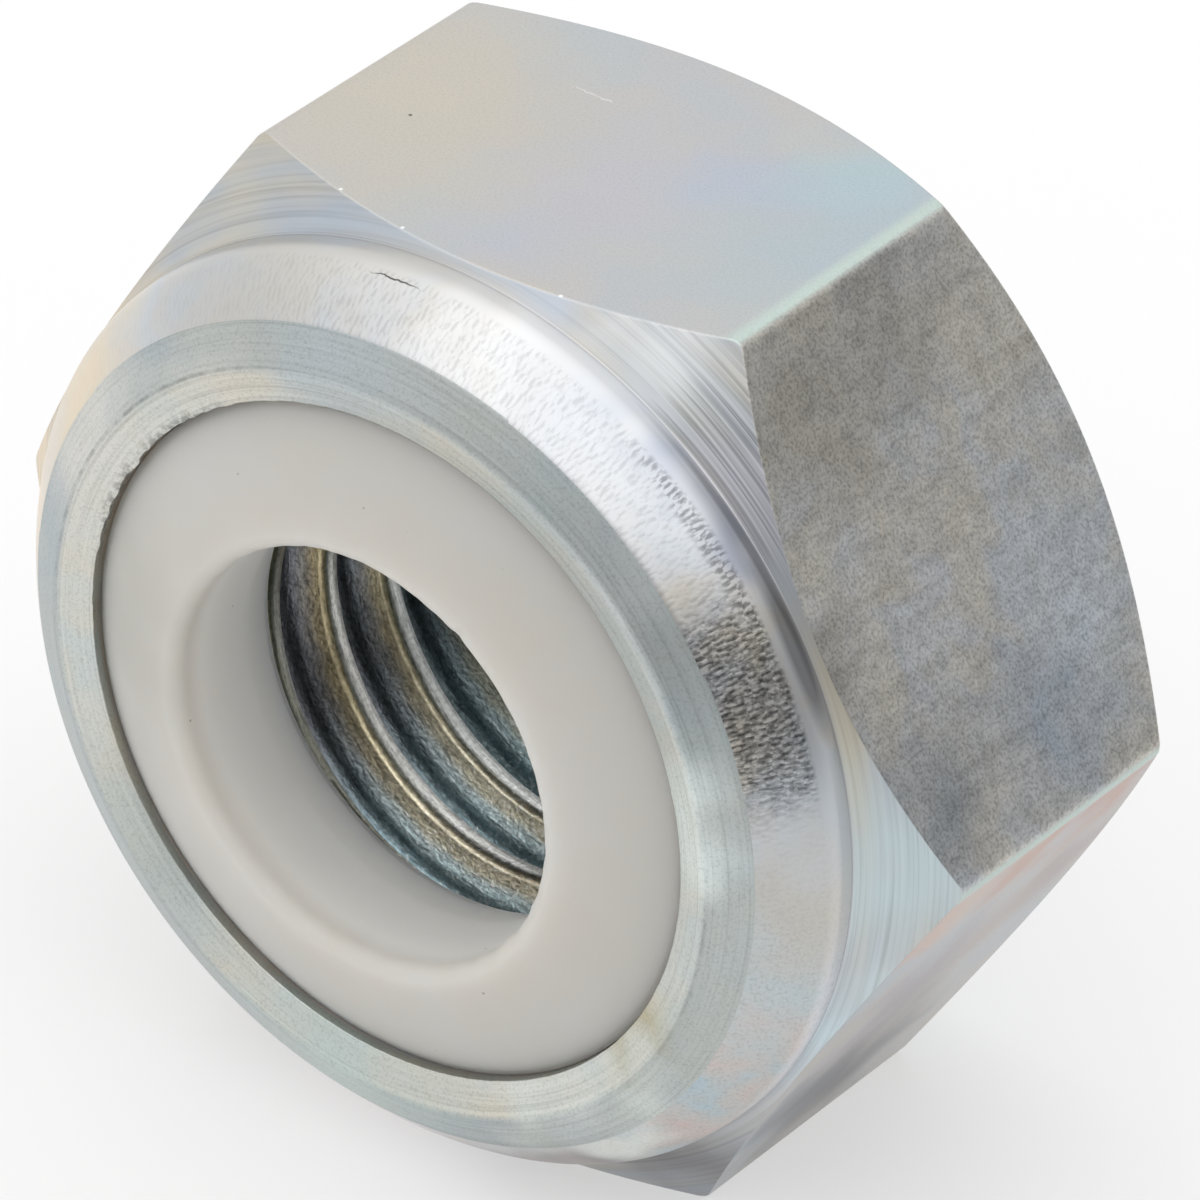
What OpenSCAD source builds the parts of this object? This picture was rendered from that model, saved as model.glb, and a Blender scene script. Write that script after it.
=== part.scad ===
// Prevailing-torque hexagon nut with a plastic locking ring, M10 x 1.5.
// Each piece is drawn about its own thread axis: the bearing face is at height 0
// and the ring end points up. The last module lays the nut on one flat, with
// the ring end facing -Y and the bearing face facing +Y.

/* [Hexagon] */
// Distance across the flats
across_flats = 17; // [16.5:0.1:19]
// Length of each corner between its two chamfers
corner_h = 5.35; // [4.5:0.05:7]
// Diameter of the flat bearing face
bearing_d = 15.6; // [14:0.1:16.4]
// Angle of the chamfer at the bearing end
rear_chamfer = 38.3; // [25:0.1:45]
// Angle of the chamfer at the collar end
front_chamfer = 36.6; // [25:0.1:45]

/* [Collar] */
// Diameter where the chamfer ends at the foot of the collar
foot_d = 16.86; // [16.5:0.02:17.4]
// Diameter of the plain band above the foot
band_d = 16.7; // [16.2:0.05:16.8]
// Height where the plain band ends, from the foot
band_h = 0.6; // [0.45:0.05:0.9]
// Diameter of the rolled shoulder
shoulder_d = 15.06; // [14.4:0.02:15.8]
// Height of the rolled shoulder, from the foot
shoulder_h = 1.57; // [1.3:0.01:1.8]
// Bow of the wall between the band and the shoulder
shoulder_bow = 0.06; // [0:0.01:0.12]
// Diameter of the crown of the rolled lip
crown_d = 13.62; // [13:0.02:14.2]
// Height of the crown, from the foot
crown_h = 1.98; // [1.85:0.01:2.3]

/* [Mouth and ring seat] */
// Diameter of the mouth inside the lip
mouth_d = 12.35; // [11.6:0.05:12.8]
// Drop from the crown to the edge of the mouth
mouth_drop = 0.21; // [0.1:0.01:0.4]
// Thickness of the lip at the mouth
lip_t = 0.7; // [0.5:0.05:0.9]
// Diameter of the seat that the ring is pressed into
seat_d = 14.5; // [14:0.05:14.9]
// Depth of the seat floor below the foot of the collar
seat_below_foot = 0.34; // [0.1:0.02:0.8]
// Height of the straight wall of the seat
seat_wall_h = 0.85; // [0.5:0.05:1]

/* [Locking ring] */
// Clearance between the ring and the wall of its seat
seat_gap = 0.03; // [0.01:0.01:0.1]
// Clearance between the ring and the mouth
mouth_gap = 0.1; // [0.05:0.01:0.2]
// Depth of the ring's face below the edge of the mouth
face_below_mouth = 0.22; // [0.1:0.02:0.4]
// Rise of the domed face, from its rim to its top
dome_h = 0.9; // [0.3:0.05:1.2]
// Bow of the domed face
dome_bow = 0.1; // [0:0.02:0.2]
// Diameter of the ring's bore
grip_d = 7.6; // [7:0.1:8.2]
// Diameter of the flared end of the bore at the seat floor
flare_d = 8.3; // [8:0.05:9]
// Height of the flare
flare_h = 1; // [0.5:0.1:1.4]
// Radius of the rounded edge of the bore
grip_edge_r = 0.4; // [0.2:0.05:0.6]

/* [Threaded hole] */
// Diameter of the hole, at the crest of its M10 x 1.5 thread
crest_d = 8.4; // [8.38:0.02:8.66]
// Diameter of the countersink in the bearing face
sink_d = 10.8; // [10.4:0.1:11.4]
// Angle between the two sides of the countersink
sink_angle = 120; // [90:5:120]

/* [Hidden] */

// Facets of a full turn
$fn = 144;
// Facets along a bowed wall
bow_steps = 4;
// Length by which cuts and tools run past the surface that they cut
past = 1;

// Heights above the bearing face
corner_r = across_flats / 2 / cos(30);
rear_h = (corner_r - bearing_d / 2) * tan(rear_chamfer);
front_h = rear_h + corner_h;
foot_h = front_h + (corner_r - foot_d / 2) * tan(front_chamfer);
crown_z = foot_h + crown_h;
mouth_z = crown_z - mouth_drop;
lip_under_z = mouth_z - lip_t;
seat_z = foot_h - seat_below_foot;
face_z = mouth_z - face_below_mouth;
dome_z = face_z + dome_h;

// Points from a to b along a wall that stands out by bow in its middle
function bowed(a, b, bow) = [
    for (i = [0 : bow_steps])
        let (t = i / bow_steps, d = b - a)
            a + t * d + 4 * t * (1 - t) * bow * [d[1], -d[0]] / norm(d)
];

// Six-sided bar, turned to a cone at each end
module hexagon() {
    over_r = corner_r + past;
    intersection() {
        cylinder(r = corner_r, h = foot_h, $fn = 6);
        rotate_extrude()
            polygon([
                [0, 0],
                [bearing_d / 2, 0],
                [over_r, (over_r - bearing_d / 2) * tan(rear_chamfer)],
                [over_r, front_h - past * tan(front_chamfer)],
                [foot_d / 2, foot_h],
                [0, foot_h]
            ]);
    }
}

// Collar: a plain band, and the wall rolled in to its crown
module collar() {
    band_top = [band_d / 2, foot_h + band_h];
    shoulder = [shoulder_d / 2, foot_h + shoulder_h];
    rotate_extrude()
        polygon(concat(
            [
                [0, seat_z],
                [band_d / 2, seat_z]
            ],
            bowed(band_top, shoulder, shoulder_bow),
            [
                [crown_d / 2, crown_z],
                [mouth_d / 2, mouth_z],
                [0, mouth_z]
            ]
        ));
}

// Hollow that holds the ring, with the mouth above it
module ring_seat() {
    rotate_extrude()
        polygon([
            [0, seat_z],
            [seat_d / 2, seat_z],
            [seat_d / 2, seat_z + seat_wall_h],
            [mouth_d / 2, lip_under_z],
            [mouth_d / 2, crown_z + past],
            [0, crown_z + past]
        ]);
}

// Cone that opens the hole at the bearing face
module countersink() {
    sink_h = (sink_d - crest_d) / 2 / tan(sink_angle / 2);
    rotate_extrude()
        polygon([
            [0, -past],
            [sink_d / 2 + past * tan(sink_angle / 2), -past],
            [crest_d / 2, sink_h],
            [0, sink_h]
        ]);
}

// Steel nut: hexagon and collar in one piece
module nut_body() {
    color("silver")
        lay_down()
            difference() {
                union() {
                    hexagon();
                    collar();
                }
                ring_seat();
                translate([0, 0, -past]) cylinder(d = crest_d, h = seat_z + 2 * past);
                countersink();
            }
}

// Half section of the plastic ring
module ring_section() {
    ring_r = seat_d / 2 - seat_gap;
    rim_r = mouth_d / 2 - mouth_gap;
    dome_top = [grip_d / 2 + grip_edge_r, dome_z];
    difference() {
        polygon(concat(
            [
                [flare_d / 2, seat_z],
                [ring_r, seat_z],
                [ring_r, seat_z + seat_wall_h - seat_gap],
                [rim_r, lip_under_z - seat_gap]
            ],
            bowed([rim_r, face_z], dome_top, dome_bow),
            [
                [grip_d / 2, dome_z],
                [grip_d / 2, seat_z + flare_h]
            ]
        ));
        // Corner that the rounded edge of the bore takes away
        translate([grip_d / 2 + grip_edge_r, dome_z - grip_edge_r])
            difference() {
                translate([-grip_edge_r - past, 0]) square(grip_edge_r + past);
                circle(r = grip_edge_r);
            }
    }
}

// Plastic ring, held in the seat by the rolled lip
module locking_ring() {
    color("gainsboro")
        lay_down()
            rotate_extrude() ring_section();
}

// Lays the upright nut on one flat, centred front to back on the origin
module lay_down() {
    translate([0, dome_z / 2, across_flats / 2])
        rotate([90, 0, 0])
            children();
}

nut_body();
locking_ring();
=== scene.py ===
from math import cos, pi, radians, sin, sqrt, tan

import bmesh
import bpy
import numpy as np
from mathutils import Matrix, Vector


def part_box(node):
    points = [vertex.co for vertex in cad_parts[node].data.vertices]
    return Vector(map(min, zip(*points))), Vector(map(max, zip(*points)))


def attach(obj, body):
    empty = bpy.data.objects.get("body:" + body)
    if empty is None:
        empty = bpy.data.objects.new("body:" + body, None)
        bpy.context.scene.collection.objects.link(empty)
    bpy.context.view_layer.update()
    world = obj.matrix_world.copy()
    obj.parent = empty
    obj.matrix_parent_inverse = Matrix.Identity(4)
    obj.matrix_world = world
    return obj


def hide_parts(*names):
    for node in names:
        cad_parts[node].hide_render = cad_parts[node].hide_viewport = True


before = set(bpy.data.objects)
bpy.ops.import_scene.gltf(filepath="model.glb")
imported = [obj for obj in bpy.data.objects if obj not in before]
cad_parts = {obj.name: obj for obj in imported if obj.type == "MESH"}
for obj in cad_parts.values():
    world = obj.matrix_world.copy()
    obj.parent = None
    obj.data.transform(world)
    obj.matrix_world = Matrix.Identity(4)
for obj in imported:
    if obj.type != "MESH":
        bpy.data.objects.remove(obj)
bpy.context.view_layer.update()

# A lock nut that lies on one of its flats. Lengths are in metres. Around the thread axis,
# "depth" runs from the bearing face (0) to the ring end, and "turn" is the angle from +X towards +Z.
MM = 0.001

# Sizes read from the solids
nut_low, nut_high = (np.array(corner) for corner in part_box("nut_body"))
ring_low, ring_high = (np.array(corner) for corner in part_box("locking_ring"))
FLATS = nut_high[2] - nut_low[2]
AXIS_Z = (nut_low[2] + nut_high[2]) / 2
BEARING_Y = nut_high[1]
CROWN = BEARING_Y - nut_low[1]
SEAT = BEARING_Y - ring_high[1]
DOME = BEARING_Y - ring_low[1]
RING_R = (ring_high[0] - ring_low[0]) / 2
CORNER_R = FLATS / 2 / cos(pi / 6)

# Hexagon and bearing end, as in the solids
BEARING_R = 7.8 * MM
SINK_R = 5.4 * MM
SINK_SLOPE = tan(radians(30))
REAR_SLOPE = tan(radians(38.3))
FRONT_SLOPE = tan(radians(36.6))
# Length of each corner between its two chamfers
CORNER_H = 5.35 * MM
FRONT_H = (CORNER_R - BEARING_R) * REAR_SLOPE + CORNER_H
FOOT_R = 8.43 * MM
FOOT = FRONT_H + (CORNER_R - FOOT_R) * FRONT_SLOPE
# Radius of the worn edges between two flats
CORNER_ROUND = 0.3 * MM

# Collar, mouth and seat, as in the solids. The chamfer's cone runs on to the plain band, where the two
# meet in a crease
BAND_R = 8.35 * MM
CREASE = FOOT + (FOOT_R - BAND_R) * FRONT_SLOPE
BAND = FOOT + 0.6 * MM
# Middle of the bowed wall
WALL_R = BAND_R - 0.37 * MM
WALL = FOOT + 1.11 * MM
SHOULDER_R = 7.53 * MM
SHOULDER = FOOT + 1.57 * MM
CROWN_R = 6.81 * MM
MOUTH_R = 6.175 * MM
MOUTH = CROWN - 0.21 * MM
LIP = 0.7 * MM
SEAT_R = 7.25 * MM
SEAT_WALL = 0.85 * MM
# Clearance of the ring in its seat
SEAT_GAP = 0.03 * MM
# How far the collar is out of round, the height of the burr on the lip's edge, and the turn at which that
# edge is torn most
OUT_OF_ROUND = 0.02 * MM
BURR = 0.032 * MM
TORN_TURN = radians(150)

# Thread M10 x 1.5, right hand
PITCH = 1.5 * MM
CREST_R = 4.2 * MM
ROOT_R = 5 * MM
# Turn at which the groove leaves the bearing face
THREAD_START = radians(17)

# Plastic ring. Its rim is wider and the edge of its bore crisper than the solid's, as the photograph shows
RIM_R = 6.16 * MM
FACE = MOUTH - 0.22 * MM
DOME_BOW = 0.1 * MM
GRIP_R = 3.8 * MM
GRIP_EDGE = 0.28 * MM
FLARE_R = 4.15 * MM
FLARE_H = 1 * MM
# Unevenness of the trimmed edge of the bore, and the depth and turn of the nick in it
UNEVEN = 0.008 * MM
NICK = 0.04 * MM
NICK_TURN = radians(59)


def linear(hex_colour):
    """An sRGB hex colour as linear red, green, blue and alpha: each channel is raised to about the
    power 2.4."""
    channels = [int(hex_colour[i:i + 2], 16) / 255 for i in (1, 3, 5)]
    return (*(c / 12.92 if c <= 0.04045 else ((c + 0.055) / 1.055) ** 2.4 for c in channels), 1)


def add(tree, kind, inputs=None, stops=None, **settings):
    """Adds one node with its settings. An input is filled with a value or linked to a socket, and stops
    are a ramp's (position, hex colour or grey level) pairs. A colour Mix has its share at input 0, its two
    colours at 6 and 7 and its result at output 2. A Mix of numbers has them at inputs 2 and 3."""
    node = tree.nodes.new("ShaderNode" + kind)
    for name, value in settings.items():
        setattr(node, name, value)
    for name, value in (inputs or {}).items():
        if isinstance(value, bpy.types.NodeSocket):
            tree.links.new(value, node.inputs[name])
        else:
            node.inputs[name].default_value = value
    if stops:
        elements = node.color_ramp.elements
        while len(elements) < len(stops):
            elements.new(0.5)
        for element, (position, value) in zip(elements, stops):
            element.position = position
            element.color = linear(value) if isinstance(value, str) else (value, value, value, 1)
    return node


# Surfaces worked out as grids


def trace(corners, rounds, columns, edge=0.02 * MM, spans=5):
    """Rows of (radius, depth) along a polyline whose corners are rounded. Corner P with rounding d becomes
    the quadratic curve (1-s)^2 A + 2 s (1-s) P + s^2 B between the points A and B at distance d on its two
    sides. Each straight stretch has rows at both ends, a second pair close to them, and spans between."""
    points = [np.stack(np.broadcast_arrays(r, z, columns)[:2], 1) for r, z in corners]
    rows = []

    def stretch(start, end):
        length = np.linalg.norm(end - start, axis=1, keepdims=True)
        close = np.minimum(edge / np.maximum(length, 1e-9), 0.2)
        between = [close + (1 - 2 * close) * k / spans for k in range(1, spans)]
        shares = [0 * close, close, *between, 1 - close]
        rows.extend(start + share * (end - start) for share in shares)

    start = points[0]
    for before, corner, after, size in zip(points, points[1:], points[2:], rounds):
        back, ahead = before - corner, after - corner
        back_length = np.linalg.norm(back, axis=1, keepdims=True)
        ahead_length = np.linalg.norm(ahead, axis=1, keepdims=True)
        a = corner + back * np.minimum(size / back_length, 0.45)
        b = corner + ahead * np.minimum(size / ahead_length, 0.45)
        stretch(start, a)
        steps = np.linspace(0, 1, 5)[:-1]
        rows.extend((1 - s) ** 2 * a + 2 * s * (1 - s) * corner + s ** 2 * b for s in steps)
        start = b
    stretch(start, points[-1])
    rows.append(points[-1])
    return np.array(rows)


def place(radius, depth, turn):
    """World points of a surface round the thread axis: x = r cos t, y = bearing face - depth and
    z = axis + r sin t."""
    return np.stack([radius * np.cos(turn), BEARING_Y - depth, AXIS_Z + radius * np.sin(turn)], -1)


def weave(rows, columns, first=0, shift=0):
    """Quads of a grid of rows by columns that closes round the axis. At the seam, row j meets row
    j - shift."""
    row, column = np.mgrid[0:rows - 1, 0:columns]
    seam = (column == columns - 1) * shift
    beside = (column + 1) % columns
    low = np.maximum(row - seam, 0)
    high = np.maximum(row + 1 - seam, 0)
    quads = np.stack([row * columns + column, low * columns + beside,
                      high * columns + beside, (row + 1) * columns + column], -1)
    return quads.reshape(-1, 4) + first


def solid(name, points, quads, finish, finishes):
    """One mesh piece. Points that coincide are merged, faces without area go, and normals point outwards."""
    mesh = bpy.data.meshes.new(name)
    mesh.from_pydata(points.reshape(-1, 3), [], quads)
    mesh.polygons.foreach_set("material_index", finish)
    mesh.polygons.foreach_set("use_smooth", np.ones(len(quads), dtype=bool))
    for material in finishes:
        mesh.materials.append(material)
    worked = bmesh.new()
    worked.from_mesh(mesh)
    bmesh.ops.remove_doubles(worked, verts=worked.verts, dist=0.0004 * MM)
    bmesh.ops.dissolve_degenerate(worked, edges=worked.edges, dist=0.0002 * MM)
    bmesh.ops.recalc_face_normals(worked, faces=worked.faces)
    worked.to_mesh(mesh)
    worked.free()
    piece = bpy.data.objects.new(name, mesh)
    bpy.context.scene.collection.objects.link(piece)
    return piece


def hexagon_turns():
    """Columns round the hexagon: about a degree apart on a flat, and close together at each worn corner."""
    corner = np.degrees(CORNER_ROUND * tan(pi / 6) / CORNER_R)
    close = corner * np.array([-1.6, -1.15, -1, -0.75, -0.5, -0.25, 0, 0.25, 0.5, 0.75, 1, 1.15, 1.6])
    flat = np.linspace(close[-1], 60 + close[0], 60)[1:-1]
    side = np.concatenate([close, flat])
    return np.radians(np.concatenate([side + 60 * k for k in range(6)]))


def hexagon_radius(turn):
    """Distance from the axis to the hexagon: flats at FLATS / 2, joined by arcs of radius CORNER_ROUND
    about centres at distance c from the axis, r = c cos a + sqrt(round^2 - c^2 sin^2 a)."""
    from_corner = np.mod(turn + pi / 6, pi / 3) - pi / 6
    flat = FLATS / 2 / np.cos(pi / 6 - np.abs(from_corner))
    centre = CORNER_R - CORNER_ROUND / cos(pi / 6)
    inside = np.maximum(CORNER_ROUND ** 2 - (centre * np.sin(from_corner)) ** 2, 0)
    arc = centre * np.cos(from_corner) + np.sqrt(inside)
    reach = CORNER_ROUND * tan(pi / 6) * cos(pi / 6) / CORNER_R
    return np.where(np.abs(np.sin(from_corner)) < reach, np.minimum(arc, flat), flat)


def waver(turn, size, waves, seed):
    """An unevenness round a ring: size times the sum of sines of 1 to waves periods with random phases,
    divided by the root of their number."""
    phases = np.random.default_rng(seed).uniform(0, 2 * pi, waves)
    return size * sum(np.sin((k + 1) * turn + phase) for k, phase in enumerate(phases)) / sqrt(waves)


def thread_rows(turn):
    """Rows of (radius, depth) of the thread, from the ring's seat down to the countersink, and the number of
    rows in a pitch. Row s follows the helix depth = s + pitch * turn / 360 degrees. Its radius goes from
    crest to root and back over one pitch, with 30 degree flanks. Past the seat a row lies on the seat's
    plane, and the cone of the countersink takes over where it is the wider."""
    root_half = PITCH / 16
    crest_half = PITCH / 2 - root_half - (ROOT_R - CREST_R) * tan(pi / 6)

    def groove_radius(along):
        """Radius at a distance along the axis from a crest's middle."""
        off = np.abs(np.mod(along + PITCH / 2, PITCH) - PITCH / 2)
        climb = np.clip((off - crest_half) / (PITCH / 2 - root_half - crest_half), 0, 1)
        eased = climb + 0.05 * np.sin(2 * pi * climb)
        return CREST_R + (ROOT_R - CREST_R) * eased

    flank = np.linspace(crest_half + 0.03 * MM, PITCH / 2 - root_half, 5)
    half = np.concatenate([[0, crest_half], flank, [PITCH / 2]])
    period = np.concatenate([half, PITCH - half[::-1][1:-1]])
    turns = int(np.ceil(SEAT / PITCH)) + 2
    along = np.concatenate([period + PITCH * k for k in range(-2, turns)])[::-1]
    # The crest's middle lies half a pitch from the groove's, which leaves the bearing face at THREAD_START
    crest_start = PITCH / 2 - PITCH * THREAD_START / (2 * pi)
    depth = along[:, None] + crest_start + PITCH * turn[None, :] / (2 * pi)
    clipped = np.clip(depth, 0, SEAT)
    radius = groove_radius(clipped - crest_start - PITCH * turn[None, :] / (2 * pi))
    cone = SINK_R - clipped / SINK_SLOPE
    return np.stack([np.maximum(radius, cone), clipped], -1), len(period)


def nut_body(finishes):
    """The steel nut: profile rows from the countersink's edge over the hexagon and the collar to the seat,
    then the thread's rows back down. Each profile is turned round the axis, on the hexagon with its own
    radius for every column."""
    turn = hexagon_turns()
    hexagon = hexagon_radius(turn)
    out_of_round = waver(turn, OUT_OF_ROUND, 4, 3)
    # The lip's edge is torn where the rolling tool left it, most of all at its upper left
    from_torn = np.mod(turn - TORN_TURN + pi, 2 * pi) - pi
    torn = 0.15 + 0.85 * np.exp(-from_torn ** 2 / 0.25)
    burr = np.maximum(0.4 + waver(turn, 1, 130, 5), 0) * BURR * torn
    mouth = MOUTH_R + out_of_round / 2
    rear = (hexagon - BEARING_R) * REAR_SLOPE
    front = FRONT_H + (CORNER_R - hexagon) * FRONT_SLOPE
    thread, rows_a_pitch = thread_rows(turn)
    seat_edge = thread[0, :, 0]

    # Corners of the outer profile and how far each one between its ends is rounded, then the inner ones
    outer = [(SINK_R, 0), (BEARING_R, 0), (hexagon, rear), (hexagon, front), (BAND_R, CREASE), (BAND_R, BAND),
             (WALL_R, WALL), (SHOULDER_R + out_of_round, SHOULDER), (CROWN_R + out_of_round, CROWN),
             (mouth - burr, MOUTH)]
    outer_rounds = np.array([0.12, 0.03, 0.025, 0.02, 0.25, 0.3, 0.06, 0.12]) * MM
    inner = [(mouth - burr, MOUTH), (mouth, MOUTH - 0.1 * MM), (MOUTH_R, MOUTH - LIP),
             (SEAT_R, SEAT + SEAT_WALL), (SEAT_R, SEAT), (seat_edge, SEAT)]
    inner_rounds = np.array([0.03, 0.05, 0.05, 0.05]) * MM
    outer_rows = trace(outer, outer_rounds, turn)
    inner_rows = trace(inner, inner_rounds, turn, spans=3)
    rows = np.concatenate([outer_rows, inner_rows[1:], thread[1:]])

    # The profile's own rows come first, then the thread's, whose last row and the first are the same edge
    plain = len(outer_rows) + len(inner_rows) - 1
    columns = len(turn)
    points = place(rows[..., 0], rows[..., 1], turn[None, :])
    quads = np.concatenate([weave(plain, columns),
                            weave(len(thread), columns, first=(plain - 1) * columns, shift=rows_a_pitch)])

    # Each quad's finish, found from where it lies
    middle = points.reshape(-1, 3)[quads].mean(axis=1)
    radius = np.hypot(middle[:, 0], middle[:, 2] - AXIS_Z)
    depth = BEARING_Y - middle[:, 1]
    row = np.concatenate([np.repeat(np.arange(plain - 1), columns),
                          np.repeat(np.arange(plain, plain + len(thread) - 1), columns)])
    flat_row = np.isin(row, np.flatnonzero(np.abs(outer_rows[:, :, 0] - hexagon).max(axis=1) < 0.01 * MM))
    finish = np.full(len(quads), finishes.index("turned"))
    finish[flat_row] = finishes.index("drawn")
    finish[(depth > CREASE) & (row < plain)] = finishes.index("rolled")
    finish[(depth > SHOULDER) & (radius < SHOULDER_R) & (row < plain)] = finishes.index("faced")
    finish[row >= plain] = finishes.index("tapped")
    return points, quads, finish


def locking_ring():
    """The plastic ring: a profile turned round the axis. At share t its domed face is the straight line from
    the rim to the bore's edge, moved out by 4 t (1 - t) DOME_BOW, and a quarter circle rounds that edge."""
    turn = np.linspace(0, 2 * pi, 288, endpoint=False)
    share = np.linspace(0, 1, 14)
    start = np.array([RIM_R, FACE])
    end = np.array([GRIP_R + GRIP_EDGE, DOME])
    along = end - start
    out = np.array([along[1], -along[0]]) / np.linalg.norm(along)
    dome = start + share[:, None] * along + 4 * (share * (1 - share))[:, None] * DOME_BOW * out
    dome[:, 1] = np.minimum(dome[:, 1], DOME)
    edge = np.linspace(0, pi / 2, 12)[1:]
    bend = np.stack([end[0] - GRIP_EDGE * np.sin(edge), DOME - GRIP_EDGE * (1 - np.cos(edge))], -1)
    wall = np.linspace(bend[-1], [GRIP_R, SEAT + FLARE_H], 12)[1:]
    flare = np.linspace(wall[-1], [FLARE_R, SEAT], 8)[1:]
    hidden = np.array([[RING_R, SEAT], [RING_R, SEAT + SEAT_WALL - SEAT_GAP],
                       [RIM_R, MOUTH - LIP - SEAT_GAP]])
    rim = np.linspace(hidden[-1], start, 6)[1:]
    loop = np.concatenate([dome, bend, wall, flare, hidden, rim])
    nick = NICK * np.exp(-((turn - NICK_TURN) / 0.03) ** 2)
    uneven = waver(turn, UNEVEN, 60, 8) + nick
    rows_at_edge = np.isin(np.arange(len(loop)), np.arange(len(dome), len(dome) + len(bend)))
    radius = loop[:, :1] + uneven * rows_at_edge[:, None]
    points = place(radius, loop[:, 1:] + 0 * turn, turn[None, :])
    quads = weave(len(loop), len(turn))
    return points, quads, np.zeros(len(quads), dtype=int)


# Finishes


def start_material(name):
    """A new material, its node tree, its shader and what its patterns read. In millimetres: the point from
    the middle of the bearing face, the same with wavy borders, the point square to the axis, its x and z,
    the depth, the radius, and the arc from the top round the collar, which starts and ends underneath.
    Round is the point's place on a circle of radius 1 about the axis."""
    material = bpy.data.materials.new(name)
    material.use_nodes = True
    tree = material.node_tree
    scale = (1 / MM, 1 / MM, 1 / MM)
    centre = (0, -BEARING_Y / MM, -AXIS_Z / MM)
    coordinates = add(tree, "TexCoord").outputs["Object"]
    point = add(tree, "Mapping", {"Vector": coordinates, "Scale": scale, "Location": centre}).outputs[0]
    cloud = add(tree, "TexNoise", {"Vector": point, "Scale": 0.7, "Detail": 1}).outputs["Color"]
    wavy = add(tree, "VectorMath", {0: cloud, 1: (2.4, 2.4, 2.4), 2: point},
               operation="MULTIPLY_ADD").outputs[0]
    wavy = add(tree, "VectorMath", {0: wavy, 1: (1.2, 1.2, 1.2)}, operation="SUBTRACT").outputs[0]
    part = add(tree, "SeparateXYZ", {0: point})
    depth = add(tree, "Math", {0: part.outputs[1], 1: -1}, operation="MULTIPLY").outputs[0]
    across = add(tree, "CombineXYZ", {0: part.outputs[0], 2: part.outputs[2]}).outputs[0]
    radius = add(tree, "VectorMath", {0: across}, operation="LENGTH").outputs["Value"]
    from_top = add(tree, "Math", {0: part.outputs[0], 1: part.outputs[2]}, operation="ARCTAN2").outputs[0]
    arc = add(tree, "Math", {0: from_top, 1: SHOULDER_R / MM}, operation="MULTIPLY").outputs[0]
    round_axis = add(tree, "VectorMath", {0: across}, operation="NORMALIZE").outputs[0]
    where = {"point": point, "wavy": wavy, "across": across, "x": part.outputs[0], "z": part.outputs[2],
             "depth": depth, "radius": radius, "round": round_axis, "arc": arc}
    return material, tree, tree.nodes["Principled BSDF"], where


def finish_metal(tree, shader, colour, roughness, relief, strength, depth):
    """Ends a bare-metal finish: its colour, its roughness and a relief that is depth millimetres high.
    Strength may be a mask."""
    tree.links.new(colour, shader.inputs["Base Color"])
    shader.inputs["Metallic"].default_value = 1
    shader.inputs["Roughness"].default_value = roughness
    bump = add(tree, "Bump", {"Height": relief, "Strength": strength, "Distance": depth * MM})
    tree.links.new(bump.outputs[0], shader.inputs["Normal"])


def mottled(tree, where, tints, size, seed=0):
    """Slow changes of tint over about size millimetres, as the passivation film changes its thickness."""
    aside = add(tree, "VectorMath", {0: where["wavy"], 1: (0, 0, 7.7 * seed)}, operation="ADD").outputs[0]
    cloud = add(tree, "TexNoise", {"Vector": aside, "Scale": 1 / size, "Detail": 2, "Roughness": 0.55})
    return add(tree, "ValToRGB", {0: cloud.outputs[0]}, stops=tints).outputs[0]


def near(tree, where, x, depth, high, size, core=0.3, most=1):
    """A round mask with wavy borders at the point (x, depth, height above the axis): most, up to core times
    its size in millimetres, and from there down to 0 at the size."""
    away = add(tree, "VectorMath", {0: where["wavy"], 1: (x, -depth, high)}, operation="DISTANCE")
    return add(tree, "MapRange", {"Value": away.outputs["Value"], "From Min": core * size, "From Max": size,
                                  "To Min": most, "To Max": 0}, interpolation_type="SMOOTHSTEP").outputs[0]


def stained(tree, where, colour, stains):
    """Soft stains over a colour. Each is the point (x, depth, height above the axis), the size in
    millimetres, the tint and the strength in its middle."""
    for x, depth, high, size, tint, strength in stains:
        mask = near(tree, where, x, depth, high, size, 0, strength)
        colour = add(tree, "Mix", {0: mask, 6: colour, 7: linear(tint)}, data_type="RGBA").outputs[2]
    return colour


def darkened(tree, colour, pattern, greys, amount=1):
    """A colour multiplied by the greys that a pattern from 0 to 1 calls up. Amount may be a mask."""
    ramp = add(tree, "ValToRGB", {0: pattern}, stops=greys).outputs[0]
    return add(tree, "Mix", {0: amount, 6: colour, 7: ramp}, data_type="RGBA",
               blend_type="MULTIPLY").outputs[2]


def grain(tree, where, size, seed=0):
    """Grains of about size millimetres."""
    aside = add(tree, "VectorMath", {0: where["point"], 1: (0, 0, 7.7 * seed)}, operation="ADD").outputs[0]
    cloud = add(tree, "TexNoise", {"Vector": aside, "Scale": 1 / size, "Detail": 1, "Roughness": 0.6})
    return cloud.outputs[0]


def tool_rings(tree, where, along, spacing, seed=0):
    """Marks turned round the axis by a tool: noise along one measure, about spacing millimetres from mark
    to mark, that hardly changes round the axis."""
    across = add(tree, "Math", {0: where[along], 1: 1 / spacing, 2: 77 * seed}, operation="MULTIPLY_ADD")
    across = add(tree, "CombineXYZ", {1: across.outputs[0]}).outputs[0]
    track = add(tree, "VectorMath", {0: across, 1: where["round"]}, operation="ADD").outputs[0]
    return add(tree, "TexNoise", {"Vector": track, "Scale": 1, "Detail": 2, "Roughness": 0.75}).outputs[0]


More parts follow.
